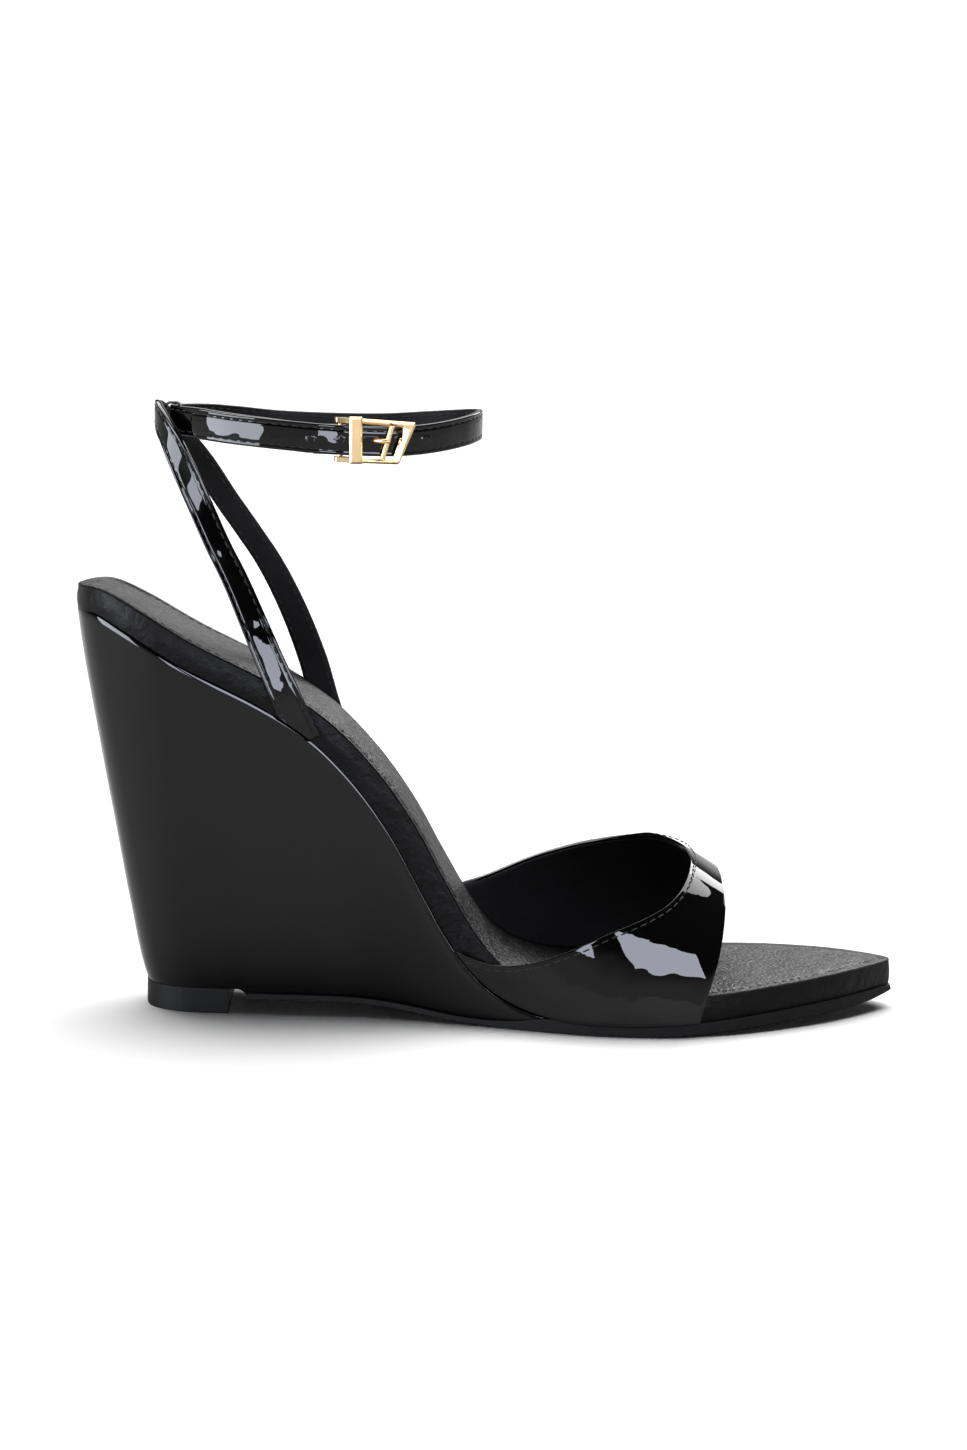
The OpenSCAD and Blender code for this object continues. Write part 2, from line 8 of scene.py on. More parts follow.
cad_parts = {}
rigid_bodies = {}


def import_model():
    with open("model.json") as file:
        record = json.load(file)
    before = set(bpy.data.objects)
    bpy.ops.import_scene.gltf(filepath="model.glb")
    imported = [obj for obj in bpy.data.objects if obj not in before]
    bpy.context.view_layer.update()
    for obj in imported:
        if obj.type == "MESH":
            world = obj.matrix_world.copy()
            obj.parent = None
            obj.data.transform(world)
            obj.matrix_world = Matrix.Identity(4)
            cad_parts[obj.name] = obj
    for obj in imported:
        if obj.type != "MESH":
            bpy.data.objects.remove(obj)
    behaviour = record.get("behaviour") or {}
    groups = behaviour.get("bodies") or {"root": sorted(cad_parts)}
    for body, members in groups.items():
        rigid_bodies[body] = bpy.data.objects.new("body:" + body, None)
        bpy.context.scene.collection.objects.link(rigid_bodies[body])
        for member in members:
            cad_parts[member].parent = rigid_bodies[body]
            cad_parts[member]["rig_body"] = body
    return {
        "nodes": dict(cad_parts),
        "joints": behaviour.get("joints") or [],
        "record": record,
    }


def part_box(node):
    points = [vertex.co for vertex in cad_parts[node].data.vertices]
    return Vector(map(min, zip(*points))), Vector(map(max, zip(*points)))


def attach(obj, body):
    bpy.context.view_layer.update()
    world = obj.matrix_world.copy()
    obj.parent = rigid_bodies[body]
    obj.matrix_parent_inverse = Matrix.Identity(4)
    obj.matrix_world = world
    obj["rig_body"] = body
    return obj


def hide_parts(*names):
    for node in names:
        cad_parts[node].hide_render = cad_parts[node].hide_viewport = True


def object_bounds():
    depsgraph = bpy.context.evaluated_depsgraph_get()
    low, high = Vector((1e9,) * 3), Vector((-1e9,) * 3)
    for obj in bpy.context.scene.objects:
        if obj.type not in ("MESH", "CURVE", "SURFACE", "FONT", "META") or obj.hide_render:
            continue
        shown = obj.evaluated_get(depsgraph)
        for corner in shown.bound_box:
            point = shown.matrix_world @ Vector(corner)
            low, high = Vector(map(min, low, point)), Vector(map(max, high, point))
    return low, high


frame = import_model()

cad_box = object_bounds()
MM = 0.001
# Curves and sizes of the pieces are in millimetres in the part's frame, and make() turns them into
# metres; materials, lights and the camera are in metres
record = frame["record"]
colours = {m["slot"]: m["base_color"][:3] for m in record["materials"]}


# ---------- curves ----------
def spline(points, n):
    """Catmull-Rom curve through the points, n steps to a span."""
    p = np.array(points, float)
    q = np.vstack([p[:1], p, p[-1:]])
    out = []
    for i in range(len(p) - 1):
        a, b, c, d = q[i:i + 4]
        for t in np.arange(n) / n:
            out.append(0.5 * (2 * b + (c - a) * t + (2 * a - 5 * b + 4 * c - d) * t ** 2
                              + (3 * b - 3 * c + d - a) * t ** 3))
    return np.array(out + [p[-1]])


def arc_length(p):
    return np.concatenate([[0], np.cumsum(np.linalg.norm(np.diff(p, axis=0), axis=1))])


def even(p, step):
    """The curve p with its points an equal step apart."""
    s = arc_length(p)
    t = np.linspace(0, s[-1], max(2, int(round(s[-1] / step)) + 1))
    return np.column_stack([np.interp(t, s, p[:, k]) for k in range(p.shape[1])])


def unit(v):
    return v / np.maximum(np.linalg.norm(v, axis=-1, keepdims=True), 1e-12)


def tangents(p, loop=False):
    return unit(np.roll(p, -1, 0) - np.roll(p, 1, 0)) if loop else unit(np.gradient(p, axis=0))


# Footbed outline: x, lateral y, medial y
PLAN = [(-31.4, -2, 2), (-29.6, -9.6, 9.6), (-25.5, -15.6, 15.6), (-18, -21.2, 21.2), (-8, -24.6, 24.4),
        (6, -25.8, 25.4), (23, -25.6, 24.4), (42, -25.2, 22.6), (60, -26.6, 22.4), (75, -29.4, 24.8),
        (90, -34.6, 30), (104, -39, 34.4), (118, -40.8, 36.6), (130, -39.6, 36.4), (142, -35.6, 34.6),
        (154, -28.6, 30.6), (165, -20.4, 25.2), (174, -12, 19.4), (181, -3.8, 13),
        (185, 1.4, 8.4), (186, 3.4, 6.4)]
# Side curve of the footbed's top: x, z
TOP = [(-31.4, 111.6), (-24, 111.4), (-14, 106.6), (0, 98.6), (20, 88.8), (35, 79.2), (48, 66.2), (58, 52.4),
       (66, 38), (74, 24.6), (83, 15.2), (96, 10.4), (112, 9.6), (130, 10.4), (150, 11.8),
       (170, 12.8), (186, 13.2)]
# Half width of the wedge at the ground: x, y
FOOT = [(-12.4, 2), (-11, 8.6), (-7, 13.8), (0, 17), (14, 18.4), (34, 19.2), (56, 21.6), (94, 34)]
# Top of the outsole: x, z
SOLE_TOP = [(14.4, 5.4), (30, 5.4), (44, 5.1), (56, 4), (68, 2.4), (76, 1.8), (84, 2.1), (90, 3.1)]
# Height of the vamp's arch over the band's lower edge: x, height
CROWN = [(60, 58), (80, 55.5), (92, 53), (104, 49.6), (114, 45.6), (122, 41.6), (130, 37.2), (139, 31)]
# Rear and front edge of the vamp: angle round the arch from the lateral side, x
REAR = [(0, 69), (4, 75), (8, 82), (13, 90), (18, 97), (23, 103.6), (28, 109.6), (33, 115.4), (39, 120.6),
        (46, 124.8), (56, 128), (69, 130), (84, 130.8), (95, 129.4), (103, 126.2), (110, 122.4), (121, 117),
        (130, 109.6), (137, 101.6), (144, 93.6), (152, 85.6), (161, 77.6), (169, 71.6), (180, 65)]
FRONT = [(0, 132), (13, 134.6), (23, 136.4), (33, 137.6), (46, 138.6), (62, 139.2), (90, 139), (118, 138.2),
         (140, 136.2), (160, 133.4), (180, 130.6)]
# Middle line of the sling, up the near leg and down the far one
SLING = [(29.8, -27.1, 73.4), (27.4, -27.1, 78.6), (24, -27.1, 86), (20.2, -25.6, 94), (15.2, -22.8, 105),
         (10.8, -20, 114.4), (6, -17.6, 123.4), (1.4, -15.1, 133), (-2.8, -13.6, 142),
         (-6.4, -11.2, 149.4), (-9.4, -7, 154.4),
         (-10.6, 0, 156.4), (-9, 7, 154.2), (-5.2, 11.2, 149.4), (0.8, 13.4, 141.6), (6.4, 15.2, 133),
         (12, 16.6, 125), (17.6, 18.6, 116.6), (22.4, 20.6, 107.6), (26.6, 22.6, 98), (30.2, 24.6, 88),
         (32.8, 25.3, 78.6), (35, 25.6, 72)]
# Middle line of the ankle strap, from its buckle end round the ankle to the tongue's tip
ANKLE = [(30.2, -27.3, 151.6), (19, -25.4, 152.7), (9.4, -20.6, 153.6), (1, -12.8, 154.4),
         (-5.8, -4.8, 154.6), (-5.8, 4.8, 154.6), (1.6, 13, 154.4), (9, 20.2, 153.6), (20, 25.4, 152.4),
         (34, 27.2, 151.9), (48, 26.4, 152), (60, 22, 153), (69.4, 13.6, 154), (73.2, 2, 154.6),
         (71.6, -9.8, 154), (66.2, -19, 152.8), (59.2, -25.8, 151.8), (52.6, -29.3, 151.3), (47, -31, 151.3),
         (42, -31.7, 151.4), (36, -31.7, 151.6), (29, -30.6, 152), (20.4, -28.3, 152.6), (11, -24.4, 153.3),
         (3.8, -18.9, 153.9), (-0.6, -14.4, 154.2)]
BAND_HEIGHT, LIFT_HEIGHT, WEDGE_FRONT, FOOT_BACK, FOOT_FRONT = 7.0, 6.5, 92.0, -12.4, 93.0
STRAP_W, STRAP_HALF, STRAP_SPLIT = 7.6, 0.9, -0.2
STITCH_INSET = 1.15
SLING_WIDTH_TOP, SLING_WIDTH_EXTRA, SLING_TAPER_TOP, SLING_TAPER = 6.5, 1.5, 120, 40
HEEL_BACK, SOLE_START, SOLE_TOP_JOIN, SOLE_LAP = -31.4, 14, 94, 0.5
FOOT_BLEND_START, FOOT_BLEND = 40, 50
ARCH_LIFT, ARCH_SIDE_POWER, ARCH_TOP_POWER = 0.2, 0.75, 0.95
VAMP_FIT, LINING_THICK, UPPER_THICK, LINING_SETBACK = 0.45, 0.6, 1.0, 0.5
SOCK_INSET, SOCK_SINK, SOCK_CROWN, CHANNEL_AT, CHANNEL_DEPTH = 1.15, 0.45, 0.75, 2.6, 0.42
# Punched holes: x, and how far outward the cutter is moved so that it stops in front of the far side
HOLES = [(30.2, 9), (37.7, 9), (52.7, 0), (59.6, 0)]
HOLE_RAISE, HOLE_RADIUS, CUTTER_LENGTH, CUTTER_Y = 0.2, 1.05, 20, -30
PRONG_SLOT_X, PRONG_SLOT_DEPTH, PRONG_SLOT_LENGTH = 44.1, 4, 2.0

plan, top, foot = spline(PLAN, 8), spline(TOP, 12), spline(FOOT, 6)
d = unit(np.gradient(top, axis=0))
band = top + BAND_HEIGHT * np.column_stack([d[:, 1], -d[:, 0]])
sole_top = np.vstack([spline(SOLE_TOP, 4), band[band[:, 0] > SOLE_TOP_JOIN]])
crown = spline(CROWN, 8)


def at(curve, x, k=1):
    return np.interp(x, curve[:, 0], curve[:, k])


def ring_of(c):
    """Closed outline from rows of x, lateral y and medial y."""
    return np.vstack([c[:, [0, 1]], c[::-1][:, [0, 2]]])


def inset(r, dist):
    t = np.roll(r, -1, 0) - np.roll(r, 1, 0)
    return r + dist * unit(np.column_stack([-t[:, 1], t[:, 0]]))


# ---------- meshes ----------
def make(name, verts, faces, mat, body="sandal", slot=None, smooth=True):
    me = bpy.data.meshes.new(name)
    me.from_pydata((np.asarray(verts, float) * MM).tolist(), [], faces)
    bm = bmesh.new()
    bm.from_mesh(me)
    bmesh.ops.remove_doubles(bm, verts=bm.verts, dist=1e-6)
    bmesh.ops.recalc_face_normals(bm, faces=bm.faces)
    bm.to_mesh(me)
    bm.free()
    if smooth:
        me.polygons.foreach_set("use_smooth", [True] * len(me.polygons))
    me.materials.append(mat)
    o = bpy.data.objects.new(name, me)
    bpy.context.scene.collection.objects.link(o)
    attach(o, body)
    return o


def loft(name, grid, mat, loop_rows=False, loop_cols=False, caps=False, **kw):
    """Surface through a grid of points."""
    g = np.asarray(grid, float)
    r, c = g.shape[:2]
    last_row, last_col = r if loop_rows else r - 1, c if loop_cols else c - 1
    i, j = np.meshgrid(np.arange(last_row), np.arange(last_col), indexing="ij")
    i2, j2 = (i + 1) % r, (j + 1) % c
    faces = np.stack([i * c + j, i * c + j2, i2 * c + j2, i2 * c + j], -1).reshape(-1, 4).tolist()
    if caps:
        faces += [list(range(c))[::-1], list(range((r - 1) * c, r * c))]
    return make(name, g.reshape(-1, 3), faces, mat, **kw)


def apply_modifiers(o):
    bpy.context.view_layer.update()
    dg = bpy.context.evaluated_depsgraph_get()
    me = bpy.data.meshes.new_from_object(o.evaluated_get(dg))
    o.modifiers.clear()
    o.data = me
    return o


def ripple(p, amount, size, seed=0.0):
    """Smooth random height at each point, for leather that isn't perfectly even."""
    off = Vector((seed, seed * 1.7, -seed))
    return amount * np.array([noise.noise(Vector(q) / size + off) for q in np.asarray(p).reshape(-1, 3)])


def stitches(name, p, t, n, mat, length=2.0, gap=0.75, radius=0.2, body="sandal",
             slot="patent_leather", lift=0.0):
    """Sewn thread along p: one small bead-shaped stitch after another, lying on the surface with normal n."""
    s = arc_length(p)
    pitch = length + gap
    places = np.arange(pitch / 2, s[-1] - pitch / 2, pitch)
    pick = lambda a: np.column_stack([np.interp(places, s, a[:, k]) for k in range(3)])
    c, tt, nn = pick(p), unit(pick(t)), unit(pick(n))
    bb = unit(np.cross(tt, nn))
    nn = unit(np.cross(bb, tt))
    rings = sides = 6
    u = np.linspace(0, math.pi, rings)
    v = np.arange(sides) * 2 * math.pi / sides
    shape = np.array([(-0.5 * length * math.cos(a), radius * math.sin(a) ** 0.6 * math.cos(b),
                       radius * math.sin(a) ** 0.6 * math.sin(b)) for a in u for b in v])
    verts, faces = [], []
    for k in range(len(places)):
        sink = 0.35 * radius * (shape[:, :1] / (0.5 * length)) ** 2
        across = shape[:, :1] * tt[k] + shape[:, 1:2] * bb[k]
        verts.append(c[k] + across + (shape[:, 2:3] + lift - sink) * nn[k])
        base = k * len(shape)
        for i in range(rings - 1):
            for j in range(sides):
                faces.append([base + i * sides + j, base + i * sides + (j + 1) % sides,
                              base + (i + 1) * sides + (j + 1) % sides, base + (i + 1) * sides + j])
    return make(name, np.vstack(verts), faces, mat, body=body, slot=slot)


# ---------- materials ----------
def material(name, colour, rough, metallic=0.0, specular=0.5, coat=0.0, coat_rough=0.03, sheen=0.0,
             bumps=(), mottle=0.0, rough_var=0.0, mottle_scale=90, round_edges=0.0):
    """Procedural material: each bump is (kind, scale, strength, distance in metres)."""
    m = bpy.data.materials.new(name)
    m.use_nodes = True
    nt = m.node_tree
    nt.nodes.clear()
    new = nt.nodes.new
    out = new("ShaderNodeOutputMaterial")
    p = new("ShaderNodeBsdfPrincipled")
    nt.links.new(p.outputs[0], out.inputs[0])
    p.inputs["Base Color"].default_value = (*colour, 1)
    p.inputs["Roughness"].default_value = rough
    p.inputs["Metallic"].default_value = metallic
    p.inputs["Specular IOR Level"].default_value = specular
    p.inputs["Coat Weight"].default_value = coat
    p.inputs["Coat Roughness"].default_value = coat_rough
    p.inputs["Sheen Weight"].default_value = sheen
    tc = new("ShaderNodeTexCoord")
    if mottle or rough_var:
        n = new("ShaderNodeTexNoise")
        n.inputs["Scale"].default_value = mottle_scale
        n.inputs["Detail"].default_value = 6
        nt.links.new(tc.outputs["Object"], n.inputs["Vector"])
    if mottle:
        mix = new("ShaderNodeMix")
        mix.data_type = "RGBA"
        mix.inputs["A"].default_value = (*[c * (1 - mottle) for c in colour], 1)
        mix.inputs["B"].default_value = (*[c * (1 + mottle) for c in colour], 1)
        nt.links.new(n.outputs["Fac"], mix.inputs["Factor"])
        nt.links.new(mix.outputs["Result"], p.inputs["Base Color"])
    if rough_var:
        r = new("ShaderNodeMapRange")
        r.inputs["To Min"].default_value = rough - rough_var
        r.inputs["To Max"].default_value = rough + rough_var
        nt.links.new(n.outputs["Fac"], r.inputs["Value"])
        nt.links.new(r.outputs[0], p.inputs["Roughness"])
    last = None
    if round_edges:
        e = new("ShaderNodeBevel")
        e.samples = 6
        e.inputs["Radius"].default_value = round_edges
        last = e.outputs[0]
    for kind, scale, strength, distance in bumps:
        if kind == "cells":
            t = new("ShaderNodeTexVoronoi")
            t.feature = "DISTANCE_TO_EDGE"
            t.inputs["Scale"].default_value = scale
            value = t.outputs["Distance"]
        else:
            t = new("ShaderNodeTexNoise")
            t.inputs["Scale"].default_value = scale
            t.inputs["Detail"].default_value = 3 if kind == "noise" else 8
            value = t.outputs["Fac"]
        nt.links.new(tc.outputs["Object"], t.inputs["Vector"])
        b = new("ShaderNodeBump")
        b.inputs["Strength"].default_value = strength
        b.inputs["Distance"].default_value = distance
        nt.links.new(value, b.inputs["Height"])
        if last:
            nt.links.new(last, b.inputs["Normal"])
        last = b.outputs[0]
    if last:
        nt.links.new(last, p.inputs["Normal"])
    return m


PATENT_BLACK = (0.003, 0.003, 0.0034)
patent = material("patent", PATENT_BLACK, 0.3, specular=0.0, coat=1.0, coat_rough=0.02,
                  bumps=[("noise", 60, 0.05, 0.001), ("noise", 340, 0.3, 0.0004),
                         ("noise", 1500, 0.1, 0.0001)])
patent.node_tree.nodes["Principled BSDF"].inputs["Coat IOR"].default_value = 1.45
nappa = material("band_leather", (0.006, 0.0056, 0.0058), 0.42, specular=0.13, sheen=0.02,
                 bumps=[("noise", 130, 0.5, 0.0012), ("noise", 420, 0.5, 0.0005),
                        ("fine", 1500, 0.5, 0.00015)],
                 mottle=0.5, rough_var=0.12, mottle_scale=650)
sock_mat = material("sock_leather", (0.007, 0.007, 0.007), 0.42, specular=0.18, mottle=0.85,
                    rough_var=0.25, mottle_scale=480,
                    bumps=[("noise", 95, 0.6, 0.0015), ("noise", 320, 0.6, 0.0009),
                           ("cells", 620, 0.8, 0.0005), ("fine", 2600, 0.5, 0.0001)])
lining = material("lining_leather", (0.005, 0.005, 0.005), 0.55, specular=0.16, mottle=0.3, rough_var=0.08,
                  bumps=[("noise", 120, 0.3, 0.0005), ("cells", 1300, 0.4, 0.0001)])
thread = material("thread", (0.006, 0.006, 0.0062), 0.5, specular=0.35, sheen=0.08,
                  bumps=[("fine", 5000, 0.5, 0.00006)])
rubber = material("sole_rubber", (0.007, 0.0065, 0.006), 0.6, specular=0.2, mottle=0.2, rough_var=0.08,
                  bumps=[("fine", 1800, 0.35, 0.0001)], round_edges=0.0004)
lift_mat = material("lift_rubber", (0.006, 0.006, 0.006), 0.55, specular=0.2, mottle=0.2,
                    bumps=[("fine", 1500, 0.4, 0.0001)], round_edges=0.0006)
gold = material("gold", (0.82, 0.59, 0.31), 0.24, metallic=1.0, bumps=[("fine", 900, 0.04, 0.0001)],
                rough_var=0.04, round_edges=0.0003)
hidden = {
    "moulded_plastic": dict(rough=0.5, mottle=0.1, bumps=[("fine", 900, 0.2, 0.0001)]),
    "fibreboard": dict(rough=0.8, mottle=0.3, bumps=[("fine", 1200, 0.5, 0.0002)]),
    "shank_steel": dict(rough=0.35, metallic=1.0, rough_var=0.1),
    "foam": dict(rough=0.9, mottle=0.15, bumps=[("cells", 1500, 0.6, 0.0002)]),
}
plain = {name: material(name, colours[name], **look) for name, look in hidden.items()}
plain.update({"sole_rubber": rubber, "lift_rubber": lift_mat, "gold_metal": gold})
for part in record["subparts"]:
    o = frame["nodes"][part["node"]]
    if part["material_slot"] in plain:
        o.data.materials.clear()
        o.data.materials.append(plain[part["material_slot"]])


# ---------- wedge cover ----------
def blend_t(x):
    t = np.clip((x - FOOT_BLEND_START) / FOOT_BLEND, 0, 1)
    return t * t * (3 - 2 * t)


def foot_edge(x, side):
    b = blend_t(x)
    return (1 - b) * (2 * side - 3) * at(foot, x) + b * at(plan, x, side)


def foot_x(x):
    return FOOT_BACK + (x - HEEL_BACK) * (FOOT_FRONT - FOOT_BACK) / (WEDGE_FRONT - HEEL_BACK)


rear_plan = plan[plan[:, 0] < WEDGE_FRONT]
fx = foot_x(rear_plan[:, 0])
low_plan = np.column_stack([fx, foot_edge(fx, 1), foot_edge(fx, 2)])


def wall():
    """Top and bottom edge of the wedge's side."""
    hi, lo = ring_of(rear_plan), ring_of(low_plan)
    zt = at(band, hi[:, 0])
    zl = np.where(lo[:, 0] < SOLE_START, LIFT_HEIGHT, at(sole_top, lo[:, 0]) - SOLE_LAP)
    return np.column_stack([hi, zt]), np.column_stack([lo, np.minimum(zl, at(band, lo[:, 0]) - SOLE_LAP)])


def resample_ring(a, b, step):
    """Both rings with points an equal step apart along the first."""
    s = arc_length(np.vstack([a, a[:1]]))
    n = int(s[-1] / step)
    t = np.linspace(0, s[-1], n, endpoint=False)
    f = lambda q: np.column_stack([np.interp(t, s, np.append(q[:, k], q[0, k])) for k in range(3)])
    return f(a), f(b)


hi, lo = resample_ring(*wall(), 1.3)
hn = tangents(hi, True)
out_dir = unit(np.column_stack([hn[:, 1], -hn[:, 0], 0 * hn[:, 0]]))
height = np.linalg.norm(hi - lo, axis=1)
BEAD_HEIGHT, BEAD_SIZE, FOOT_TURN = 1.6, 0.42, 0.8
cols = []
for k in np.linspace(0, 1, 44):
    p = lo + (hi - lo) * k
    belly = 0.8 * (1 - k ** 9) * (1 - (1 - k) ** 20)
    near_top = np.clip((k * height - (height - BEAD_HEIGHT)) / BEAD_HEIGHT, 0, 1)
    bead = BEAD_SIZE * np.sin(np.pi * near_top)
    near_foot = np.clip(1 - k * height / FOOT_TURN, 0, 1)
    wave = ripple(p, 0.16, 26, 3.0) + ripple(p, 0.05, 9, 8.0)
    cols.append(p + out_dir * (belly + bead - 0.15 * near_foot + wave * min(1, 6 * k * (1 - k)))[:, None])
roll = [hi - out_dir * w + np.array([0, 0, z]) for w, z in [(0.25, 0.18), (0.7, 0.2), (1.0, 0.0)]]
cols += roll + [hi - out_dir * 1.0 - np.array([0, 0, 0.6])]
cover = loft("wedge_cover_leather", np.stack(cols, 1), patent, loop_rows=True, slot="patent_leather")
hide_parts("wedge_cover")

# ---------- footbed band ----------
ring = ring_of(plan)
r3 = np.column_stack([ring, at(top, ring[:, 0]), at(band, ring[:, 0])])
s = arc_length(np.vstack([r3, r3[:1]])[:, :2])
BAND_STATIONS = 420
t = np.linspace(0, s[-1], BAND_STATIONS, endpoint=False)
r4 = np.column_stack([np.interp(t, s, np.append(r3[:, k], r3[0, k])) for k in range(4)])
tg = tangents(r4[:, :2], True)
nrm = np.column_stack([tg[:, 1], -tg[:, 0]])
# Cross-section of the band: distance outward, share of the height, and z added to it
prof = []
for k in np.linspace(0, 1, 12):
    prof.append((0.28 * math.sin(math.pi * min(1, k * 1.15)) - 0.1, k, 0.0))
for a in np.linspace(0.15, 1, 6) * math.pi / 2:
    prof.append((-0.9 + 0.8 * math.cos(a), 1.0, 0.75 * math.sin(a) - 0.55))
prof += [(-1.6, 1.0, 0.08), (-2.3, 1.0, -0.25), (-2.6, 1.0, -0.8)]
grid = []
for off, k, dz in prof:
    xy = r4[:, :2] + nrm * off
    z = r4[:, 3] + (r4[:, 2] - 0.35 - r4[:, 3]) * k + dz
    p = np.column_stack([xy, z])
    w = ripple(p, 0.1, 7, 1.0) + ripple(p, 0.05, 2.5, 2.0)
    bulge = 0.3 + 0.7 * math.sin(math.pi * k * 0.9)
    grid.append(p + np.column_stack([nrm * w[:, None] * bulge, 0 * z]))
bandobj = loft("footbed_band_leather", np.stack(grid, 1), nappa, loop_rows=True, slot="smooth_leather")
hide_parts("footbed_band")

# ---------- sock ----------
sx = np.concatenate([-31.0 + 1.6 * np.linspace(0, 1, 10) ** 1.6, np.linspace(-29.0, 183, 230),
                     185.5 - 2.2 * np.linspace(1, 0, 10) ** 1.6])
inner = inset(ring_of(plan), SOCK_INSET)
half = len(plan)
left, right = inner[:half], inner[half:][::-1]
lx, rx = np.interp(sx, left[:, 0], left[:, 1]), np.interp(sx, right[:, 0], right[:, 1])
tt = np.sin(np.linspace(-1, 1, 61) * math.pi / 2)
Y = (lx + rx)[:, None] / 2 + (rx - lx)[:, None] / 2 * tt[None]
X = np.repeat(sx[:, None], len(tt), 1)
edge = np.minimum(np.minimum(Y - lx[:, None], rx[:, None] - Y), np.minimum(X + 31.2, 185.8 - X))
slope = np.interp(sx, top[:, 0], d[:, 1] / np.maximum(d[:, 0], 0.1))[:, None]
cushion = SOCK_CROWN * (1 - np.exp(-np.maximum(edge, 0) / 4.0))
channel = CHANNEL_DEPTH * np.exp(-((edge - CHANNEL_AT) / 0.55) ** 2)
turned_edge = 0.5 * np.exp(-np.maximum(edge, 0) / 0.5)
pad = cushion - channel - turned_edge
cup = -1.0 * np.exp(-((X + 6) / 22) ** 2) * (1 - tt[None] ** 2)
Z = at(top, X) - SOCK_SINK + (pad + cup) * np.sqrt(1 + slope ** 2)
P = np.stack([X, Y, Z], -1)
P[..., 2] += (ripple(P, 0.14, 11, 5.0) + ripple(P, 0.05, 4, 6.0)).reshape(X.shape)
sock = loft("sock_leather_pad", P, sock_mat, slot="sock_leather")
solid = sock.modifiers.new("thick", "SOLIDIFY")
solid.thickness, solid.offset = 0.7 * MM, -1
apply_modifiers(sock)
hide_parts("sock_lining")

row = inset(ring_of(plan[(plan[:, 0] > -30.5) & (plan[:, 0] < 184)]), SOCK_INSET + CHANNEL_AT)
row = np.vstack([row, row[:1]])
rz = at(top, row[:, 0]) - SOCK_SINK + 0.02
rp = even(np.column_stack([row, rz]), 0.8)
rslope = np.interp(rp[:, 0], top[:, 0], d[:, 1] / np.maximum(d[:, 0], 0.1))
rn = unit(np.column_stack([-rslope, 0 * rslope, 1 + 0 * rslope]))
sock_thread = material("sock_thread", (0.003, 0.003, 0.003), 0.7, bumps=[("fine", 2500, 0.5, 0.0001)])
stitches("sock_stitches", rp, tangents(rp), rn, sock_thread,
         length=1.9, gap=0.8, radius=0.32, slot="sock_leather", lift=0.02)


# ---------- vamp ----------
def arch(x, a, off):
    """Point of the vamp's arch at x and angle a, off outside the band."""
    a = np.radians(a)
    lateral, medial = at(plan, x, 1) - off, at(plan, x, 2) + off
    c, sn = np.cos(a), np.maximum(np.sin(a), 0)
    reach = np.abs(c) ** ARCH_SIDE_POWER
    z = at(band, x) + ARCH_LIFT + (at(crown, x) + off) * sn ** ARCH_TOP_POWER
    return np.stack([x, np.where(c > 0, lateral * reach, medial * reach), z], -1)


rear_c, front_c = spline(REAR, 6), spline(FRONT, 8)
share = np.linspace(1, -1, 141)
angles = 90 - 90 * np.sign(share) * np.abs(share) ** 0.9


def arch_sheet(off, back, rows=42):
    k = np.linspace(0, 1, rows)[:, None]
    a = np.repeat(angles[None], rows, 0)
    r, f = at(rear_c, angles)[None] + back, at(front_c, angles)[None] - back
    return arch(r + (f - r) * k, a, off), a


def leather_sheet(name, off, back, thick, mat, slot, bump):
    g, a = arch_sheet(off, back)
    if bump:
        dn = unit(arch_sheet(off + 0.5, back)[0] - arch_sheet(off, back)[0])
        low = np.exp(-(np.minimum(a, 180 - a) / 16) ** 2)
        w = ripple(g, 0.22, 16, 4.0) + ripple(g, 0.06, 5, 7.0) + ripple(g, 0.02, 2.2, 9.0)
        g = g + dn * (w.reshape(a.shape) * (0.5 + low))[..., None]
    o = loft(name, g, mat, slot=slot)
    m = o.modifiers.new("thick", "SOLIDIFY")
    m.thickness, m.offset, m.use_even_offset = thick * MM, 0, True
    m.use_rim = True
    b = o.modifiers.new("soft", "BEVEL")
    b.width, b.segments, b.limit_method, b.angle_limit = 0.3 * MM, 3, "ANGLE", math.radians(55)
    return apply_modifiers(o)


vamp_inside = VAMP_FIT + LINING_THICK
vamp_outside = vamp_inside + UPPER_THICK
vamp = leather_sheet("vamp_patent", vamp_inside + UPPER_THICK / 2, 0.0, UPPER_THICK, patent,
                     "patent_leather", True)
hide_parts("vamp_upper")
vamp_lining = leather_sheet("vamp_lining_leather", VAMP_FIT + LINING_THICK / 2, LINING_SETBACK,
                            LINING_THICK, lining, "lining_leather", False)
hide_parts("vamp_lining")


def vamp_row(name, curve, sign, off, inward, mat, slot="patent_leather", flip=1, last=178, **kw):
    """Stitch row along an edge of the vamp, the given distance inward from it."""
    a = np.linspace(2, last, 400)
    e = arch(at(curve, a), a, off)
    n = unit(arch(at(curve, a), a, off + 0.5) - e)
    tg = tangents(e)
    dirn = unit(np.cross(n, tg)) * sign
    p = even(e + dirn * inward, 0.6)
    s0, s1 = arc_length(e), arc_length(p)
    n2 = unit(np.column_stack([np.interp(s1 * s0[-1] / s1[-1], s0, n[:, k]) for k in range(3)])) * flip
    return stitches(name, p, tangents(p), n2, mat, slot=slot, **kw)


outside_row = dict(length=2.0, gap=0.7, radius=0.2, lift=0.02)
vamp_row("vamp_stitches_top", rear_c, -1, vamp_outside, 1.5, thread, last=176, **outside_row)
vamp_row("vamp_stitches_front", front_c, 1, vamp_outside, 1.5, thread, **outside_row)
vamp_row("lining_stitches_top", rear_c, -1, VAMP_FIT, 1.6, thread, slot="lining_leather", flip=-1,
         length=1.8, gap=0.9, radius=0.18, last=176)


# ---------- straps ----------
def strap_frame(p, outward):
    tg = tangents(p)
    n = unit(outward - np.sum(outward * tg, 1)[:, None] * tg)
    return tg, n, np.cross(tg, n)


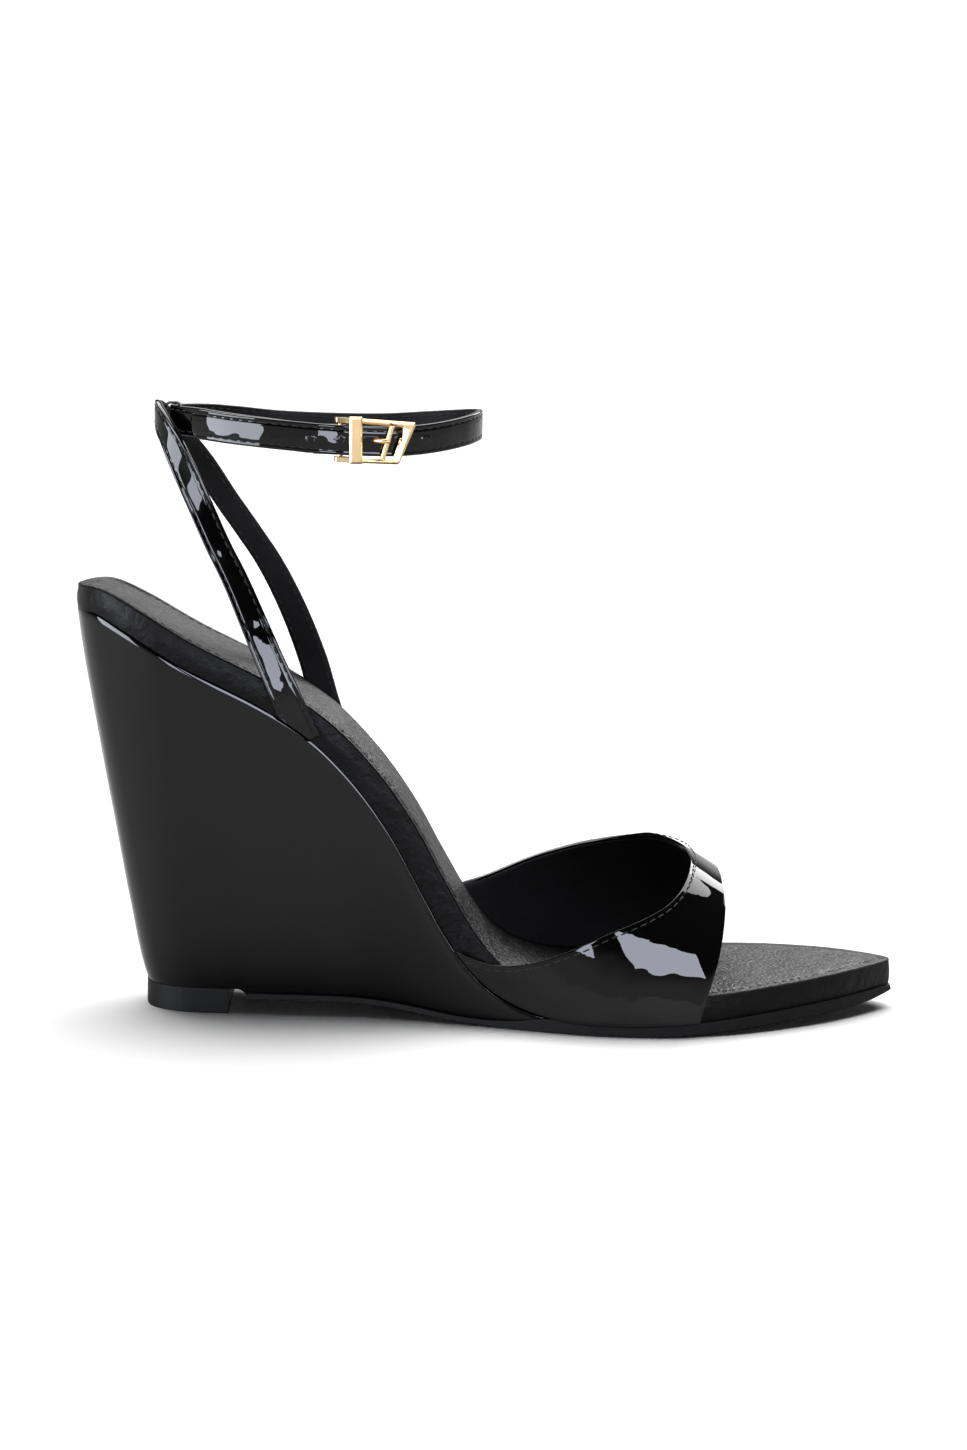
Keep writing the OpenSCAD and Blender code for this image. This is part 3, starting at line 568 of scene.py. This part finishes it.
def face_profile(half, low, high, outer):
    """Cross-section of one strap layer: softened edges, and a pillow with two stitch dips outside."""
    e = min(0.3, (high - low) * 0.3)
    pts = []
    for b in np.linspace(-half + e, half - e, 27):
        z = high
        if outer:
            dip = math.exp(-((abs(b) - (half - STITCH_INSET)) / 0.28) ** 2)
            z += 0.14 * (1 - (b / half) ** 2) - 0.16 * dip
        pts.append((b, z))
    for a in (0.3, 0.6):
        pts.append((half - e + e * math.sin(a * math.pi / 2), high - e + e * math.cos(a * math.pi / 2)))
    pts += [(half, high - e), (half, low + e), (half - e * 0.4, low + e * 0.3), (half - e, low)]
    pts += [(b, low) for b in np.linspace(half - e, -half + e, 7)[1:]]
    pts += [(-half + e * 0.4, low + e * 0.3), (-half, low + e), (-half, high - e)]
    for a in (0.6, 0.3):
        pts.append((-half + e - e * math.sin(a * math.pi / 2), high - e + e * math.cos(a * math.pi / 2)))
    return np.array(pts)


def strap(name, p, frm, width, low, high, mat, slot, body="sandal", tip=0.0, wave=0.0, seed=1.0,
          trim=False):
    """One layer of a strap along p; tip is the length of its rounded end."""
    tg, n, b = frm
    outer = high > STRAP_SPLIT
    left = arc_length(p)[-1] - arc_length(p)
    g = []
    for i in range(len(p)):
        hw = width[i] / 2
        q = face_profile(hw, low, high, outer)
        lo_cut = hi_cut = 0.0
        if tip:
            t = np.clip(left[i] / tip, 0.0, 1)
            lo_cut = hw * 1.25 * (1 - math.sqrt(1 - (1 - t) ** 2))
            hi_cut = hw * 0.55 * (1 - math.sqrt(1 - (1 - t) ** 2))
        bb = np.clip(q[:, 0], -hw + lo_cut, hw - hi_cut)
        zz = q[:, 1]
        if wave:
            base = p[i] + n[i] * high + b[i] * bb[:, None]
            w = ripple(base, wave, 5.0, seed) + ripple(base, wave * 0.4, 2.2, seed + 3)
            zz = zz + np.where(q[:, 1] > (low + high) / 2, w, 0)
        g.append(p[i] + b[i] * bb[:, None] + n[i] * zz[:, None])
    g = np.array(g)
    if trim:
        g[..., 2] = np.maximum(g[..., 2], at(band, g[..., 0]) + 0.25)
    return loft(name, g, mat, loop_cols=True, caps=True, slot=slot, body=body)


sp = even(spline(SLING, 12), 0.9)
so = np.column_stack([np.minimum(0, sp[:, 0] + 1) * 1.5, sp[:, 1], 0 * sp[:, 0]])
sf = strap_frame(sp, so)
sw = SLING_WIDTH_TOP + SLING_WIDTH_EXTRA * np.clip((SLING_TAPER_TOP - sp[:, 2]) / SLING_TAPER, 0, 1)
LINING_TRIM = 0.3
sling = strap("sling_patent", sp, sf, sw, STRAP_SPLIT, STRAP_HALF, patent, "patent_leather",
              wave=0.07, trim=True)
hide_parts("sling_outer")
sling_back = strap("sling_lining_leather", sp, sf, sw - LINING_TRIM, -STRAP_HALF, STRAP_SPLIT, lining,
                   "lining_leather", trim=True)
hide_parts("sling_lining")
for side, nm in ((-1, "a"), (1, "b")):
    off = (sw / 2 - STITCH_INSET)[:, None] * side
    keep = sp[:, 2] > at(band, sp[:, 0]) + 3
    front, rear = sp + sf[2] * off + sf[1] * STRAP_HALF, sp + sf[2] * off - sf[1] * STRAP_HALF
    stitches("sling_stitches_" + nm, front[keep], sf[0][keep], sf[1][keep], thread, lift=0.0)
    stitches("sling_lining_stitches_" + nm, rear[keep], sf[0][keep], -sf[1][keep], thread,
             slot="lining_leather", radius=0.17, lift=0.02)

ap = even(spline(ANKLE, 12), 0.8)
along = tangents(ap)
ao = np.column_stack([-along[:, 1], along[:, 0], 0 * along[:, 0]])
af = strap_frame(ap, ao)
aw = np.full(len(ap), STRAP_W)
TONGUE_TIP = 3.6
outer = strap("ankle_patent", ap, af, aw, STRAP_SPLIT, STRAP_HALF, patent, "patent_leather",
              "ankle_strap", tip=TONGUE_TIP, wave=0.09, seed=2.0)
inner_strap = strap("ankle_lining_leather", ap, af, aw - LINING_TRIM, -STRAP_HALF, STRAP_SPLIT, lining,
                    "lining_leather", "ankle_strap", tip=TONGUE_TIP)
hinge = next(j for j in frame["joints"] if j["name"] == "buckle_tilt")["pos_m"]


def cutter(x, z, depth_from, stretch=0.0):
    """Cylinder across the strap, pulled out into a slot by stretch."""
    bm = bmesh.new()
    bmesh.ops.create_cone(bm, cap_ends=True, segments=28, radius1=HOLE_RADIUS, radius2=HOLE_RADIUS,
                          depth=CUTTER_LENGTH)
    for v in bm.verts:
        cx, cy, cz = v.co
        v.co = Vector(((cx + (stretch if cx > 0 else 0)) + x, CUTTER_Y - depth_from + cz, cy + z)) * MM
    me = bpy.data.meshes.new("cut")
    bm.to_mesh(me)
    bm.free()
    o = bpy.data.objects.new("cut", me)
    bpy.context.scene.collection.objects.link(o)
    return o


hz = hinge[2] / MM
cutters = [cutter(x, hz + HOLE_RAISE, deep) for x, deep in HOLES]
cutters.append(cutter(PRONG_SLOT_X, hz, PRONG_SLOT_DEPTH, PRONG_SLOT_LENGTH))
for o in (outer, inner_strap):
    for c in cutters:
        m = o.modifiers.new("hole", "BOOLEAN")
        m.object, m.operation, m.solver = c, "DIFFERENCE", "EXACT"
    apply_modifiers(o)
for c in cutters:
    bpy.data.objects.remove(c)
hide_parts("ankle_outer")
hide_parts("ankle_lining")

for side, nm in ((-1, "a"), (1, "b")):
    off = (STRAP_W / 2 - STITCH_INSET) * side
    keep = slice(0, len(ap) - 6)
    front, rear = ap + af[2] * off + af[1] * STRAP_HALF, ap + af[2] * off - af[1] * STRAP_HALF
    stitches("ankle_stitches_" + nm, front[keep], af[0][keep], af[1][keep], thread, body="ankle_strap")
    stitches("ankle_lining_stitches_" + nm, rear[keep], af[0][keep], -af[1][keep], thread,
             slot="lining_leather", body="ankle_strap", radius=0.17, lift=0.02)


def torus(name, centre, normal, radius, tube, mat, body, slot):
    """Ring with its axis along normal."""
    n = unit(np.array(normal, float))
    u = unit(np.cross(n, [0, 0, 1.0]))
    v = np.cross(n, u)
    a = np.arange(28) * 2 * math.pi / 28
    b = np.arange(8) * 2 * math.pi / 8
    spoke = [u * math.cos(i) + v * math.sin(i) for i in a]
    ring = [[np.array(centre) + w * (radius + tube * math.cos(j)) + n * tube * math.sin(j) for j in b]
            for w in spoke]
    return loft(name, np.array(ring), mat, loop_rows=True, loop_cols=True, body=body, slot=slot)


# Pressed rims round the holes, on the last part of the strap that carries the holes
tongue = np.arange(len(ap)) > len(ap) * 0.6
RIM_RADIUS, RIM_TUBE = 1.1, 0.14
for k, (x, _) in enumerate(HOLES):
    i = np.where(tongue)[0][np.argmin(np.abs(ap[tongue][:, 0] - x))]
    c = ap[i] + af[1][i] * (STRAP_HALF + 0.06)
    torus("hole_rim_%d" % k, (x, c[1], hz + HOLE_RAISE), af[1][i], RIM_RADIUS, RIM_TUBE, patent,
          "ankle_strap", "patent_leather")

# ---------- strap loop behind the ankle ----------
lo_c, hi_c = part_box("strap_loop")
lo_c, hi_c = np.array(lo_c) / MM, np.array(hi_c) / MM
cx, cz = (lo_c[0] + hi_c[0]) / 2, (lo_c[2] + hi_c[2]) / 2
LOOP_WIDTH, LOOP_WALL, LOOP_STATIONS = 4.0, 0.6, 56
half_x, half_z = (hi_c[0] - lo_c[0]) / 2 - LOOP_WALL / 2, (hi_c[2] - lo_c[2]) / 2 - LOOP_WALL
a = np.arange(LOOP_STATIONS) * 2 * math.pi / LOOP_STATIONS
squared = lambda v: np.sign(v) * np.abs(v) ** 0.5
path = np.column_stack([cx + half_x * squared(np.cos(a)), 0 * a, cz + half_z * squared(np.sin(a))])
pt = tangents(path, True)
pn = np.column_stack([pt[:, 2], 0 * a, -pt[:, 0]])
pn *= np.sign(np.sum(pn * (path - [cx, 0, cz]), 1))[:, None]
prof = face_profile(LOOP_WIDTH / 2, -LOOP_WALL / 2, LOOP_WALL / 2, True)
crosswise = np.array([0, 1.0, 0])
g = np.array([path[i] + crosswise * prof[:, :1] + pn[i] * prof[:, 1:] for i in range(len(a))])
strap_loop = loft("strap_loop_leather", g, patent, loop_rows=True, loop_cols=True, slot="patent_leather")
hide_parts("strap_loop")

# ---------- chape: the strap's end folded round the hinge bar ----------
chape = frame["nodes"]["buckle_chape"]
chape.data.materials.clear()
chape.data.materials.append(material("chape_patent", PATENT_BLACK, 0.3, specular=0.0, coat=1.0,
                                     bumps=[("noise", 220, 0.05, 0.0004)], round_edges=0.0003))

# ---------- stage ----------
# The floor is pale to the camera and greyer in reflections: painted shade, its colour switched darker for
# every ray but camera rays, so its reflections and bounced light are dimmer
floor_mat = material("floor", (0.95, 0.95, 0.95), 0.7, specular=0.1)
look = floor_mat.node_tree
seen = look.nodes.new("ShaderNodeLightPath")
# Painted shade: floor colour 0.97 for camera rays and 0.43 for all other rays
floor_painted_shade = look.nodes.new("ShaderNodeMapRange")
floor_painted_shade.inputs["To Min"].default_value, floor_painted_shade.inputs["To Max"].default_value = 0.43, 0.97
look.links.new(seen.outputs["Is Camera Ray"], floor_painted_shade.inputs["Value"])
look.links.new(floor_painted_shade.outputs[0], look.nodes["Principled BSDF"].inputs["Base Color"])
FLOOR_HALF = 4000
corners = [(x * FLOOR_HALF, y * FLOOR_HALF, 0) for x, y in ((-1, -1), (1, -1), (1, 1), (-1, 1))]
floor = make("floor", corners, [[0, 1, 2, 3]], floor_mat)
floor.parent = None
if "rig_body" in floor:
    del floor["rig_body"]

# The studio is pale around the horizon and dark overhead; the backdrop behind the sandal is plain white
world = bpy.data.worlds.new("studio")
bpy.context.scene.world = world
world.use_nodes = True
wt = world.node_tree
background = wt.nodes["Background"]
coord = wt.nodes.new("ShaderNodeTexCoord")
split = wt.nodes.new("ShaderNodeSeparateXYZ")
wt.links.new(coord.outputs["Generated"], split.inputs[0])
fade = wt.nodes.new("ShaderNodeMapRange")
fade.interpolation_type = "SMOOTHSTEP"
for key, value in (("From Min", 0.06), ("From Max", 0.34), ("To Min", 0.52), ("To Max", 0.025)):
    fade.inputs[key].default_value = value
wt.links.new(split.outputs["Z"], fade.inputs["Value"])
ray = wt.nodes.new("ShaderNodeLightPath")
pick = wt.nodes.new("ShaderNodeMix")
pick.inputs["B"].default_value = 1.05
wt.links.new(ray.outputs["Is Camera Ray"], pick.inputs["Factor"])
wt.links.new(fade.outputs[0], pick.inputs["A"])
wt.links.new(pick.outputs[0], background.inputs["Strength"])
background.inputs["Color"].default_value = (1, 1, 1, 1)

centre = Vector(((cad_box[0][0] + cad_box[1][0]) / 2, 0, 0.07))


def area(name, direction, distance, size, radiance, colour=(1, 1, 1)):
    """Soft box seen from the sandal in the given direction, with the given brightness."""
    light = bpy.data.lights.new(name, "AREA")
    light.shape, light.size, light.size_y, light.color = "RECTANGLE", size[0], size[1], colour
    light.energy = radiance * math.pi * size[0] * size[1]
    o = bpy.data.objects.new(name, light)
    bpy.context.scene.collection.objects.link(o)
    o.location = centre + Vector(direction).normalized() * distance
    o.rotation_euler = (centre - o.location).to_track_quat("-Z", "Y").to_euler()
    o.visible_diffuse = False
    return o


area("front_box", (0.3, -0.85, 0.32), 1.2, (0.9, 0.36), 11.5, (0.82, 0.86, 1.0))
area("narrow_box", (-0.3, -0.93, 0.22), 0.55, (0.09, 0.13), 11, (0.82, 0.86, 1.0))
area("side_box", (-0.9, -0.42, 0.16), 1.2, (0.9, 0.5), 11, (0.85, 0.88, 1.0))
area("back_box", (0.38, 0.79, 0.42), 1.2, (0.5, 0.36), 5.5)
sun = bpy.data.lights.new("overhead", "SUN")
sun.energy, sun.angle = 5.1, math.radians(70)
sun_object = bpy.data.objects.new("overhead", sun)
bpy.context.scene.collection.objects.link(sun_object)
sun_object.rotation_euler = Vector((-0.05, -0.45, -0.87)).to_track_quat("-Z", "Y").to_euler()

# ---------- camera ----------
azimuth, tilt = math.radians(-1.0), math.radians(1.0)
target, distance, rise = Vector((0.0759, 0, 0.075)), 1.0, 0.1285
pitch = math.atan2(rise, distance)
back = Vector((math.sin(azimuth) * math.cos(pitch), -math.cos(azimuth) * math.cos(pitch), math.sin(pitch)))
right = Vector((math.cos(azimuth), math.sin(azimuth), 0))
up = back.cross(right)
r2 = right * math.cos(tilt) + up * math.sin(tilt)
u2 = up * math.cos(tilt) - right * math.sin(tilt)
cam_data = bpy.data.cameras.new("camera")
cam_data.lens, cam_data.sensor_width, cam_data.sensor_fit = 94.46, 36, "AUTO"
cam = bpy.data.objects.new("camera", cam_data)
bpy.context.scene.collection.objects.link(cam)
m = Matrix((r2, u2, back)).transposed().to_4x4()
m.translation = target + back * math.hypot(distance, rise)
cam.matrix_world = m
bpy.context.scene.camera = cam
bpy.context.scene.view_settings.view_transform = "Standard"
